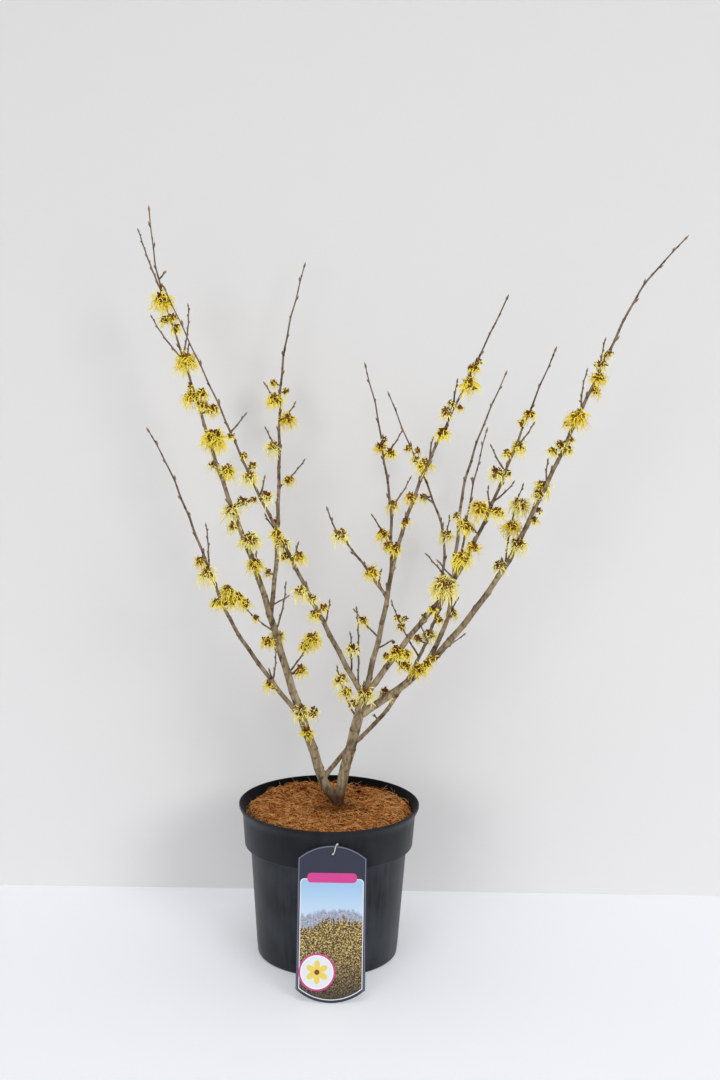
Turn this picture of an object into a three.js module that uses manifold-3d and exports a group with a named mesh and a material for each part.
// A young witch hazel in flower on bare wood, grown on as a shrub in a round black nursery pot
// with a layer of coir on top and a printed card that leans on the pot.
// Millimetres, +Z up. The origin is the centre of the pot's flat underside, and the front faces -Y.
import * as THREE from 'three';
import { mergeVertices } from 'three/addons/utils/BufferGeometryUtils.js';
import Module from 'manifold-3d';

const wasm = await Module();
wasm.setup();

// Driving dimensions

const GAP = 0.3; // running clearance between neighbouring solids

const POT = {
  height: 203,
  rimRadius: 118.2, // outside of the lip
  lip: { drop: 3.5, under: 12, radius: 113.2, width: 3, round: 1 }, // its foot runs into the collar
  collar: { foot: 149, under: 146, radius: 110.2 }, // the wide band's lower edge
  shoulderRadius: 102.4, // the body just under the collar
  bodyFootRadius: 92.4,
  corner: 3, // the round edge of the underside
  wall: 2,
  floor: 2.4,
  sides: 36,
};
const DRAIN = { count: 6, radius: 6, ring: 62 }; // drain holes in the underside

const COIR = {
  stemTop: 195.7, // the level round the stems
  flatRadius: 45,
  midTop: 193.7,
  edgeTop: 189, // where it meets the pot's wall
  edgeWidth: 4, // the rounded margin there
  edgeDrop: 2,
};

const CARD = { width: 86, height: 192, thickness: 1, endRise: 16, foot: 166.7, x: 7, lean: 16 };
const CARD_HOLE = { radius: 2.2, below: 11.2 };
const TIE = { thread: 0.55, halfHeight: 6.8, halfDepth: 1.9, rise: 6.4, sideways: 3, arcs: 3, steps: 20 };

const WOOD = {
  internode: 26, // spacing of the nodes where a young limb changes direction
  zigzag: 1.1, // how far a node stands off the limb's line
  limbSides: 8,
  sprayStemSides: 5,
  shootSides: 3,
};
const FLARE = { extra: 2.6, height: 20 }; // the swollen foot of the main stem
const SHOOT = { base: 1.5, tip: 0.55, depth: 0.45, arch: 0.1, steps: 3 };
const BLOOM = {
  knob: 3.8, // radius of the tight group of calyces
  pole: 2.8, // half its depth
  petals: 6,
  open: 62, // degrees between a petal and the way its blossom faces
  scatter: 20,
  shortest: 11,
  longest: 17,
  width: 1.2, // room kept round a petal
  forwards: 0.9, // how far a blossom beside a limb may turn to the front
  backwards: 0.5,
  stalk: 1.3,
  droop: 0.25,
};

// The limbs. Each grows from the centreline of another, `at` mm along it, through a few way points
// to its tip. `wood` is how far it is a bare bough; past that it is the stem of a flowering spray.
// `blooms` are distances along it, negative on its left side and positive on its right, and `front`
// holds those that face forwards.
// A shoot is [distance along, length, degrees right of upright, its own blooms].
const LIMBS = [
  {
    name: 'trunk', through: [[11, 13, 196], [19, 12, 240], [33, 9, 300], [45, 8, 350]],
    radii: [8.4, 7.4], taper: 1, wood: 200, blooms: [], front: [134],
    shoots: [[112, 78, -19, [26, 44, 62]]],
  },
  {
    name: 'left_stem', from: 'trunk', at: 3,
    through: [[-5, 16, 219], [-25, 21, 275], [-57, 35, 365], [-95, 48, 485], [-145, 60, 615],
      [-190, 66, 755], [-230, 70, 880], [-242, 72, 970]],
    radii: [7.5, 0.8], taper: 1.5, wood: 320, front: [98, 125],
    blooms: [116, 177, 330, 356, -382, 400, 416, 455, -466, 488, -502, 534, -550, 560, -577, 606,
      652, -664, 690],
    shoots: [[182, 58, 28, [40, 52]], [222, 20, -50, [18]], [238, 62, -43, [28]], [246, 66, 10, []],
      [606, 30, -20, []], [616, 72, -38, []], [622, 68, 0, []], [698, 90, -14, []]],
  },
  {
    name: 'low_left_bough', from: 'left_stem', at: 118,
    through: [[-85, 5, 375], [-130, -30, 455], [-165, -70, 560], [-195, -105, 650], [-220, -130, 705]],
    radii: [3.3, 0.8], taper: 1, wood: 150, blooms: [-52, 188, -194, 206, -240, -258],
    shoots: [[58, 46, 2, []], [176, 26, 40, [22]], [244, 58, -3, []]],
  },
  {
    name: 'inner_left_bough', from: 'left_stem', at: 264,
    through: [[-76, 75, 505], [-75, 118, 620], [-75, 142, 730], [-66, 155, 810], [-44, 163, 901]],
    radii: [3.2, 0.8], taper: 1, wood: 100, blooms: [-46, -118, -216, 254, -280, 294, -306],
    shoots: [[166, 50, 41, [26]], [214, 34, -27, []], [250, 35, 33, []], [278, 34, -34, []]],
  },
  {
    name: 'far_right_bough', from: 'trunk', at: 126,
    through: [[95, 10, 360], [155, 15, 420], [220, 10, 515], [270, 0, 625], [328, -15, 765],
      [376, -25, 873], [431, -30, 941]],
    radii: [5.5, 0.8], taper: 1, wood: 250,
    blooms: [36, -262, 298, 338, 370, 382, -430, 438, 450, -468, 478, -486, 520, 537, -553, 569],
    shoots: [[62, 112, 52, [30, 44, 54]], [270, 106, 15, [52, 78, 90]], [386, 32, 12, []],
      [487, 52, 8, []], [542, 44, 17, []]],
  },
  {
    name: 'centre_bough', from: 'trunk', at: 153,
    through: [[66, -10, 450], [80, -38, 540], [105, -70, 630], [140, -108, 720], [180, -142, 815],
      [202, -160, 868]],
    radii: [4.6, 0.8], taper: 1.2, wood: 190,
    blooms: [199, 241, -276, -318, 326, 369, -399, 408, -416, 440, 463, 474],
    shoots: [[72, 48, -42, [22]], [331, 30, 12, []], [404, 38, 8, []], [448, 18, 0, []]],
  },
  {
    name: 'right_middle_bough', from: 'trunk', at: 151,
    through: [[105, -12, 435], [150, -34, 500], [185, -50, 575], [215, -60, 655], [245, -68, 740],
      [270, -70, 805]],
    radii: [4.2, 0.8], taper: 1, wood: 110,
    blooms: [48, -60, 76, 120, 138, 168, -174, 180, -212, 218, 238, -262, -282, 292, -334, 340,
      -364, 376, -404, 418],
    shoots: [[184, 30, -33, []], [296, 34, 26, []], [341, 34, -22, []], [374, 42, 31, []]],
  },
  {
    name: 'crossing_bough', from: 'trunk', at: 150,
    through: [[0, -22, 430], [-45, -50, 525], [-95, -75, 630], [-140, -92, 735], [-175, -102, 812],
      [-202, -110, 872]],
    radii: [4.2, 0.8], taper: 1.6, wood: 105,
    blooms: [-131, 137, -156, 167, 208, -220, 234, -249, 298, -330, 340, 358, -388],
    shoots: [[20, 104, -2, [44]], [113, 33, 11, []], [209, 23, 3, []], [254, 26, -33, []],
      [308, 27, 8, []], [393, 25, 35, []]],
  },
  {
    name: 'right_upright_bough', from: 'far_right_bough', at: 104,
    through: [[150, 35, 440], [162, 55, 535], [170, 70, 610], [190, 82, 680], [225, 95, 765]],
    radii: [3.4, 0.8], taper: 1, wood: 60, blooms: [68, -194], shoots: [[76, 24, 27, []]],
  },
  {
    name: 'back_stem', from: 'left_stem', at: 38,
    through: [[20, 40, 260], [65, 62, 300], [110, 82, 365], [145, 104, 445], [170, 120, 505],
      [186, 134, 600], [205, 142, 685]],
    radii: [3.3, 0.8], taper: 1, wood: 280, blooms: [236, 262],
    shoots: [[204, 86, -28, [47, 56, 64]], [451, 12, -9, []]],
  },
  {
    name: 'back_spray', from: 'back_stem', at: 268,
    through: [[150, 128, 525], [130, 142, 595], [100, 151, 660], [70, 158, 730]],
    radii: [2.2, 0.8], taper: 1, wood: 0, blooms: [71, -127, -182, 191, 200],
    shoots: [[65, 34, 8, []], [118, 22, -43, []]],
  },
  {
    name: 'centre_left_spray', from: 'centre_bough', at: 141,
    through: [[35, -70, 540], [5, -115, 585], [-5, -140, 615]],
    radii: [2.2, 0.7], taper: 1, wood: 0, blooms: [40, 126], shoots: [[16, 16, -5, []]],
  },
  {
    name: 'slim_spray', from: 'centre_bough', at: 172,
    through: [[74, 0, 590], [65, 20, 650], [55, 38, 710], [38, 50, 775]],
    radii: [2.2, 0.7], taper: 1, wood: 0, blooms: [20, -38, 74, 142, -152, 163],
    shoots: [[33, 38, -34, []], [74, 46, 33, []], [140, 40, 29, []]],
  },
];

// Materials

const finish = (color, roughness) => new THREE.MeshStandardMaterial({ color, roughness, metalness: 0 });
const MATERIALS = {
  bark: finish(0x8d8069, 0.85),
  blossom: finish(0xe6cf3c, 0.7),
  potPlastic: finish(0x34373a, 0.55),
  coir: finish(0xa8683a, 1),
  card: finish(0x3a4258, 0.45),
  thread: finish(0xe8e8e4, 0.6),
};

// Solids and meshes

function toSolid(geometry) {
  const bare = geometry.clone();
  bare.deleteAttribute('normal');
  bare.deleteAttribute('uv');
  const merged = mergeVertices(bare, 1e-4);
  const all = merged.index.array;
  const triVerts = [];
  for (let i = 0; i < all.length; i += 3) {
    const [a, b, c] = [all[i], all[i + 1], all[i + 2]];
    if (a !== b && b !== c && c !== a) triVerts.push(a, b, c);
  }
  return new wasm.Manifold(new wasm.Mesh({
    numProp: 3,
    vertProperties: merged.attributes.position.array,
    triVerts: new Uint32Array(triVerts),
  }));
}

// Joins what touches and keeps the one body that holds nearly all of it, without loose scraps.
function fuse(solids) {
  const joined = solids.reduce((whole, next) => whole.add(next));
  return joined.decompose().sort((a, b) => b.volume() - a.volume())[0];
}

function toMesh(name, solid, material) {
  const { vertProperties, triVerts } = solid.getMesh();
  const geometry = new THREE.BufferGeometry();
  geometry.setAttribute('position', new THREE.BufferAttribute(vertProperties, 3));
  geometry.setIndex(new THREE.BufferAttribute(triVerts, 1));
  const flat = geometry.toNonIndexed();
  flat.computeVertexNormals();
  const mesh = new THREE.Mesh(flat, material);
  mesh.name = name;
  return mesh;
}

const vector = (xyz) => new THREE.Vector3(...xyz);
const along = (point, direction, distance) => point.clone().addScaledVector(direction, distance);

// A repeatable number from 0 to 1 for item k of the thing numbered seed.
function chance(seed, k) {
  const s = Math.sin(seed * 12.9898 + k * 78.233) * 43758.5453;
  return s - Math.floor(s);
}

// A closed round tube through the points, with a radius at each; a pointed one ends in a bud's tip.
function tube(points, radii, sides, pointed) {
  const last = points.length - 1;
  const position = [];
  let side = new THREE.Vector3(1, 0.2, 0.1);
  points.forEach((point, i) => {
    const tangent = points[Math.min(i + 1, last)].clone().sub(points[Math.max(i - 1, 0)]).normalize();
    side = along(side, tangent, -side.dot(tangent)).normalize();
    const across = tangent.clone().cross(side);
    for (let k = 0; k < sides; k++) {
      const turn = (2 * Math.PI * k) / sides;
      const corner = along(along(point, side, radii[i] * Math.cos(turn)), across, radii[i] * Math.sin(turn));
      position.push(corner.x, corner.y, corner.z);
    }
  });
  const start = position.length / 3;
  const heading = points[last].clone().sub(points[last - 1]).normalize();
  const end = pointed ? along(points[last], heading, 4 * radii[last]) : points[last];
  position.push(points[0].x, points[0].y, points[0].z, end.x, end.y, end.z);
  const index = [];
  for (let k = 0; k < sides; k++) {
    const next = (k + 1) % sides;
    for (let i = 0; i < last; i++) {
      const [a, b, c, d] = [i * sides + k, i * sides + next, (i + 1) * sides + next, (i + 1) * sides + k];
      index.push(a, b, c, a, c, d);
    }
    index.push(start, next, k, start + 1, last * sides + k, last * sides + next);
  }
  const geometry = new THREE.BufferGeometry();
  geometry.setAttribute('position', new THREE.Float32BufferAttribute(position, 3));
  geometry.setIndex(index);
  return toSolid(geometry);
}

// A solid of revolution about +Z from (radius, height) points that start and end on the axis.
function turned(profile, sides) {
  const points = profile.map(([r, z]) => new THREE.Vector2(r, z));
  return toSolid(new THREE.LatheGeometry(points, sides).rotateX(Math.PI / 2));
}

// Pot: a blow-moulded shell with a thin lip, a wide collar and a round-edged underside

const quarter = (steps) => Array.from({ length: steps + 1 }, (_, i) => (Math.PI / 2) * (i / steps));

function potOutside() {
  const { height, rimRadius, lip, collar, shoulderRadius, bodyFootRadius, corner } = POT;
  const edge = quarter(2).map((turn) => [
    bodyFootRadius - corner + corner * Math.sin(turn), corner - corner * Math.cos(turn)]);
  return [...edge, [shoulderRadius, collar.under], [collar.radius, collar.foot],
    [lip.radius, height - lip.under], [rimRadius, height - lip.drop], [rimRadius, height - lip.round],
    [rimRadius - lip.round, height]];
}

// The inner wall, from the bottom up to the foot of the lip, moved inwards by the clearance given.
function potInside(clear) {
  const { height, lip, collar, shoulderRadius, bodyFootRadius, corner, wall, floor } = POT;
  const inset = wall + clear;
  return [[bodyFootRadius - corner - inset, floor + clear], [bodyFootRadius - inset, corner + clear],
    [shoulderRadius - inset, collar.under], [collar.radius - inset, collar.foot],
    [lip.radius - inset, height - lip.under]];
}

function drainHole(turn) {
  return toSolid(new THREE.CylinderGeometry(DRAIN.radius, DRAIN.radius, 4 * POT.floor, 8)
    .rotateX(Math.PI / 2)
    .translate(DRAIN.ring * Math.cos(turn), DRAIN.ring * Math.sin(turn), 0));
}

function pot() {
  const shell = turned([[0, 0], ...potOutside(), [POT.rimRadius - POT.lip.width, POT.height],
    ...potInside(0).reverse(), [0, POT.floor]], POT.sides);
  const turns = Array.from({ length: DRAIN.count }, (_, i) => (2 * Math.PI * (i + 0.5)) / DRAIN.count);
  return turns.reduce((cut, turn) => cut.subtract(drainHole(turn)), shell);
}

function coir() {
  const { stemTop, flatRadius, midTop, edgeTop, edgeWidth, edgeDrop } = COIR;
  const [foot, bend, shoulder, collar, lipFoot] = potInside(GAP);
  const share = Math.min(1, (edgeTop - collar[1]) / (lipFoot[1] - collar[1]));
  const edge = collar[0] + share * (lipFoot[0] - collar[0]);
  return turned([[0, foot[1]], foot, bend, shoulder, collar, [edge, edgeTop - edgeDrop],
    [edge - edgeWidth, edgeTop], [(edge + flatRadius) / 2, midTop], [flatRadius, stemTop],
    [0, stemTop]], POT.sides);
}

// Card: a thin printed plate with an arched top and foot, and a thread loop through its hole

function card() {
  const half = CARD.width / 2;
  const arch = (half * half + CARD.endRise ** 2) / (2 * CARD.endRise);
  const sweep = Math.asin(half / arch);
  const outline = new THREE.Shape();
  outline.absarc(0, arch, arch, -Math.PI / 2 - sweep, -Math.PI / 2 + sweep, false);
  outline.absarc(0, CARD.height - arch, arch, Math.PI / 2 - sweep, Math.PI / 2 + sweep, false);
  const hole = new THREE.Path();
  hole.absarc(0, CARD.height - CARD_HOLE.below, CARD_HOLE.radius, 0, 2 * Math.PI, true);
  outline.holes.push(hole);
  return toSolid(new THREE.ExtrudeGeometry(outline, {
    depth: CARD.thickness, bevelEnabled: false, curveSegments: 7,
  }));
}

class ThreadLoop extends THREE.Curve {
  getPoint(t, target = new THREE.Vector3()) {
    const turn = 2 * Math.PI * t;
    const middle = CARD.height - CARD_HOLE.below + TIE.rise;
    return target.set(
      (TIE.sideways * (1 - Math.cos(turn))) / 2,
      middle - TIE.halfHeight * Math.cos(turn),
      CARD.thickness / 2 + TIE.halfDepth * Math.sin(turn));
  }
}

function tie() {
  const section = new THREE.Shape();
  section.absarc(0, 0, TIE.thread, 0, 2 * Math.PI, false);
  const loop = new ThreadLoop();
  const ring = Array.from({ length: TIE.steps }, (_, i) => loop.getPoint(i / TIE.steps));
  const path = new THREE.CatmullRomCurve3(ring, true);
  return toSolid(new THREE.ExtrudeGeometry(section, {
    steps: TIE.steps, extrudePath: path, curveSegments: TIE.arcs,
  }));
}

// The card and its tie stand on the floor and lean back against the pot's collar.
function leaning(solid) {
  const place = new THREE.Matrix4().makeRotationX(THREE.MathUtils.degToRad(90 - CARD.lean));
  place.setPosition(CARD.x, -CARD.foot, 0);
  return solid.transform(place.toArray());
}

// Limbs: a smooth line through the way points, with a small zigzag from node to node

function limbLine(limb, number, lines) {
  const parent = limb.from && lines[limb.from];
  const points = limb.through.map(vector);
  if (parent) points.unshift(placeOn(parent, limb.at).point);
  const smooth = new THREE.CatmullRomCurve3(points, false, 'catmullrom', 0.5)
    .getPoints(16 * (points.length - 1));
  const reached = [0];
  for (let i = 1; i < smooth.length; i++) reached.push(reached[i - 1] + smooth[i].distanceTo(smooth[i - 1]));
  const length = reached[reached.length - 1];
  const count = Math.round(length / WOOD.internode);
  const nodes = [];
  for (let j = 0, i = 0; j <= count; j++) {
    const want = (length * j) / count;
    while (i < smooth.length - 2 && reached[i + 1] < want) i++;
    const share = (want - reached[i]) / (reached[i + 1] - reached[i]);
    const point = smooth[i].clone().lerp(smooth[i + 1], share);
    const inner = j > 0 && j < count ? WOOD.zigzag * (0.5 + chance(number, j)) : 0;
    point.x += j % 2 ? inner : -inner;
    point.y += inner * (2 * chance(number, j + 50) - 1);
    nodes.push(point);
  }
  const stops = nodes.map((_, j) => (length * j) / count);
  if (!parent) stops.splice(1, 0, FLARE.height / 2);
  const radiusAt = (s) => {
    const share = Math.max(0, 1 - s / length);
    const flare = parent ? 0 : FLARE.extra * Math.max(0, 1 - s / FLARE.height) ** 2;
    return limb.radii[1] + (limb.radii[0] - limb.radii[1]) * share ** limb.taper + flare;
  };
  return { nodes, stops, length, radiusAt };
}

// The point on a limb's centreline `s` mm along it, and the way the limb heads there.
function placeOn(line, s) {
  const last = line.nodes.length - 1;
  const step = line.length / last;
  const i = Math.min(last - 1, Math.max(0, Math.floor(s / step)));
  const heading = line.nodes[i + 1].clone().sub(line.nodes[i]).normalize();
  return { point: line.nodes[i].clone().lerp(line.nodes[i + 1], s / step - i), heading };
}

// The stretch of a limb from s0 to s1, with a little extra radius where it is used as a cutter.
function stretch(line, s0, s1, extra = 0) {
  const stops = [s0, ...line.stops.filter((s) => s > s0 + 1 && s < s1 - 1), s1];
  return {
    points: stops.map((s) => placeOn(line, s).point),
    radii: stops.map((s) => line.radiusAt(s) + extra),
  };
}

function limbTube(line, s0, s1, sides, pointed, extra) {
  const { points, radii } = stretch(line, s0, s1, extra);
  return tube(points, radii, sides, pointed);
}

// The way a blossom leaves a limb: square to it, to one side and backwards or forwards.
function outwards(heading, side, depth) {
  const out = new THREE.Vector3(side, depth, 0);
  return along(out, heading, -out.dot(heading)).normalize();
}

// Where each blossom of a limb sits: [distance, side, depth].
function seatsOf(blooms, front, seed) {
  const depth = (k) => THREE.MathUtils.lerp(-BLOOM.forwards, BLOOM.backwards, chance(seed + k, 2));
  return [...blooms.map((at, k) => [Math.abs(at), Math.sign(at), depth(k)]),
    ...front.map((at) => [at, 0.2, -1])];
}

// A side shoot's line: it leaves its limb a little sideways and arches up.

function shootLine(line, [at, length, lean], seed) {
  const { point, heading } = placeOn(line, at);
  const turn = THREE.MathUtils.degToRad(lean);
  const depth = SHOOT.depth * (2 * chance(seed, 1) - 1);
  const way = new THREE.Vector3(Math.sin(turn), depth, Math.cos(turn)).normalize();
  const out = along(way, heading, -way.dot(heading)).normalize();
  const nodes = Array.from({ length: SHOOT.steps + 1 }, (_, i) => {
    const t = i / SHOOT.steps;
    return along(along(point, way, length * t), out, 4 * SHOOT.arch * length * t * (1 - t));
  });
  const radiusAt = (s) => SHOOT.base + (SHOOT.tip - SHOOT.base) * Math.min(1, s / length);
  return { nodes, stops: nodes.map((_, i) => (length * i) / SHOOT.steps), length, radiusAt };
}

// Room: what each solid already fills, as rods, so that a twig or petal that would touch is left out

const rods = [];

function addRods(owner, points, radii) {
  for (let i = 1; i < points.length; i++) {
    rods.push({
      owner,
      line: new THREE.Line3(points[i - 1], points[i]),
      radius: Math.max(radii[i - 1], radii[i]),
    });
  }
}

function isFree(a, b, radius, owners) {
  const probe = new THREE.Line3(a, b);
  return rods.every((rod) => owners.includes(rod.owner)
    || Math.sqrt(rod.line.distanceSqToLine3(probe)) > rod.radius + radius + 2 * GAP);
}

// Blossom: a knob of calyces, a double pyramid whose outer faces are drawn out into petals

// The blossom at one place on a line: its solids, or none where there is no room for it.
function blossom(line, [at, side, depth], seed, owner, carrier) {
  const { knob, pole, petals, open, scatter, shortest, longest, width, droop } = BLOOM;
  const { point, heading } = placeOn(line, at);
  const facing = outwards(heading, side, depth);
  const across = facing.clone().cross(heading);
  const standOff = carrier === owner ? knob / 2 : knob + 3 * GAP;
  const centre = along(point, facing, line.radiusAt(at) + standOff);
  if (!isFree(centre, centre, knob, [owner])) return [];
  addRods(owner, [centre, along(centre, facing, 1)], [knob, knob]);

  const way = (tilt, turn) => along(along(facing.clone().multiplyScalar(Math.cos(tilt)),
    heading, Math.sin(tilt) * Math.cos(turn)), across, Math.sin(tilt) * Math.sin(turn));
  const corner = (k) => along(centre, way(Math.PI / 2, (2 * Math.PI * k) / petals), knob);
  const front = along(centre, facing, pole);
  const back = along(centre, facing, -pole);
  const triangles = [];
  for (let k = 0; k < petals; k++) {
    const [a, b] = [corner(k), corner(k + 1)];
    const tilt = THREE.MathUtils.degToRad(open + scatter * (2 * chance(seed, k + 10) - 1));
    const out = way(tilt, (2 * Math.PI * (k + 0.3 + 0.4 * chance(seed, k + 30))) / petals);
    out.z -= droop;
    const tip = along(centre, out.normalize(), THREE.MathUtils.lerp(shortest, longest, chance(seed, k + 50)));
    triangles.push(b, a, back);
    if (isFree(along(centre, out, knob), tip, width, [owner])) {
      addRods(owner, [centre, tip], [width, width]);
      triangles.push(a, b, tip, b, front, tip, front, a, tip);
    } else {
      triangles.push(a, b, front);
    }
  }
  const solids = [toSolid(new THREE.BufferGeometry().setFromPoints(triangles))];
  if (carrier !== owner) {
    const radii = [BLOOM.stalk, BLOOM.stalk];
    solids.push(tube([point, centre], radii, WOOD.shootSides, false));
  }
  return solids;
}

// A side shoot with its own blossoms, as solids to fuse; none where it would touch something else.
function sideShoot(line, shoot, seed, owner, carriers) {
  const own = shootLine(line, shoot, seed);
  const clearOf = line.radiusAt(shoot[0]) + 2;
  const first = placeOn(own, Math.min(clearOf, own.length / 2)).point;
  const radii = own.stops.map(own.radiusAt);
  if (!isFree(first, own.nodes[SHOOT.steps], SHOOT.base, carriers)) return [];
  addRods(owner, own.nodes, radii);
  const alternate = shoot[3].map((at, k) => (k % 2 ? -at : at));
  const flowers = seatsOf(alternate, [], seed)
    .flatMap((seat, k) => blossom(own, seat, seed + 7 * (k + 1), owner, owner));
  return [tube(own.nodes, radii, WOOD.shootSides, true), ...flowers];
}

// The whole shrub: where every limb runs, then the bare boughs, the sprays at their ends and the
// spurs along them

const lines = {};
const sprayName = (limb) => (limb.wood ? `${limb.name}_spray` : limb.name);
const sprayStart = (limb) => (limb.wood ? limb.wood + GAP : 0);
const hasSpray = (limb) => limb.wood < lines[limb.name].length;

LIMBS.forEach((limb, number) => {
  const line = limbLine(limb, number, lines);
  lines[limb.name] = line;
  const lower = stretch(line, 0, Math.min(limb.wood, line.length));
  if (limb.wood) addRods(limb.name, lower.points, lower.radii);
  if (!hasSpray(limb)) return;
  const upper = stretch(line, limb.wood, line.length);
  addRods(sprayName(limb), upper.points, upper.radii);
});

const plant = new THREE.Group();
const seats = []; // the stems already made, grown by the clearance, which later solids are cut to

function addNode(name, solids, material) {
  const others = seats.filter((seat) => seat.owner !== name);
  const cut = others.reduce((rest, seat) => rest.subtract(seat.solid), fuse(solids));
  plant.add(toMesh(name, fuse([cut]), material));
}

LIMBS.filter((limb) => limb.wood).forEach((limb) => {
  const line = lines[limb.name];
  const isTrunk = !limb.from;
  const end = Math.min(limb.wood, line.length);
  let solid = limbTube(line, 0, end, WOOD.limbSides, isTrunk, 0);
  if (isTrunk) {
    const [x, y, z] = limb.through[0];
    solid = solid.subtract(toSolid(new THREE.BoxGeometry(80, 80, 40).translate(x, y, z - 20)));
  }
  addNode(limb.name, [solid], MATERIALS.bark);
  seats.push({ owner: limb.name, solid: limbTube(line, 0, end, WOOD.limbSides, isTrunk, GAP) });
});

LIMBS.filter(hasSpray).forEach((limb) => {
  const line = lines[limb.name];
  seats.push({
    owner: sprayName(limb),
    solid: limbTube(line, sprayStart(limb), line.length, WOOD.sprayStemSides, true, GAP),
  });
});

LIMBS.filter(hasSpray).forEach((limb) => {
  const line = lines[limb.name];
  const owner = sprayName(limb);
  const seed = 100 * LIMBS.indexOf(limb);
  const shoots = limb.shoots.filter((shoot) => shoot[0] >= limb.wood);
  const blooms = seatsOf(limb.blooms, [], seed).filter(([at]) => at > limb.wood);
  addNode(owner, [
    limbTube(line, sprayStart(limb), line.length, WOOD.sprayStemSides, true, 0),
    ...shoots.flatMap((shoot, k) => sideShoot(line, shoot, seed + k, owner, [owner])),
    ...blooms.flatMap((seat, k) => blossom(line, seat, seed + 20 + k, owner, owner)),
  ], MATERIALS.blossom);
});

LIMBS.filter((limb) => limb.wood).forEach((limb) => {
  const line = lines[limb.name];
  const seed = 100 * LIMBS.indexOf(limb);
  const shoots = limb.shoots.filter((shoot) => shoot[0] < limb.wood);
  const blooms = seatsOf(limb.blooms, limb.front || [], seed).filter(([at]) => at <= limb.wood);
  const spurs = [
    ...shoots.map((shoot) => (own, owner) => sideShoot(line, shoot, own, owner, [owner, limb.name])),
    ...blooms.map((seat) => (own, owner) => blossom(line, seat, own, owner, limb.name)),
  ];
  let made = 0;
  spurs.forEach((grow, k) => {
    const owner = `${limb.name}_spur_${made + 1}`;
    const solids = grow(seed + 60 + k, owner);
    if (!solids.length) return;
    addNode(owner, solids, MATERIALS.blossom);
    made += 1;
  });
});

plant.add(toMesh('pot', pot(), MATERIALS.potPlastic));
plant.add(toMesh('coir_fill', coir(), MATERIALS.coir));
plant.add(toMesh('plant_card', leaning(card()), MATERIALS.card));
plant.add(toMesh('card_tie', leaning(tie()), MATERIALS.thread));

export default plant;
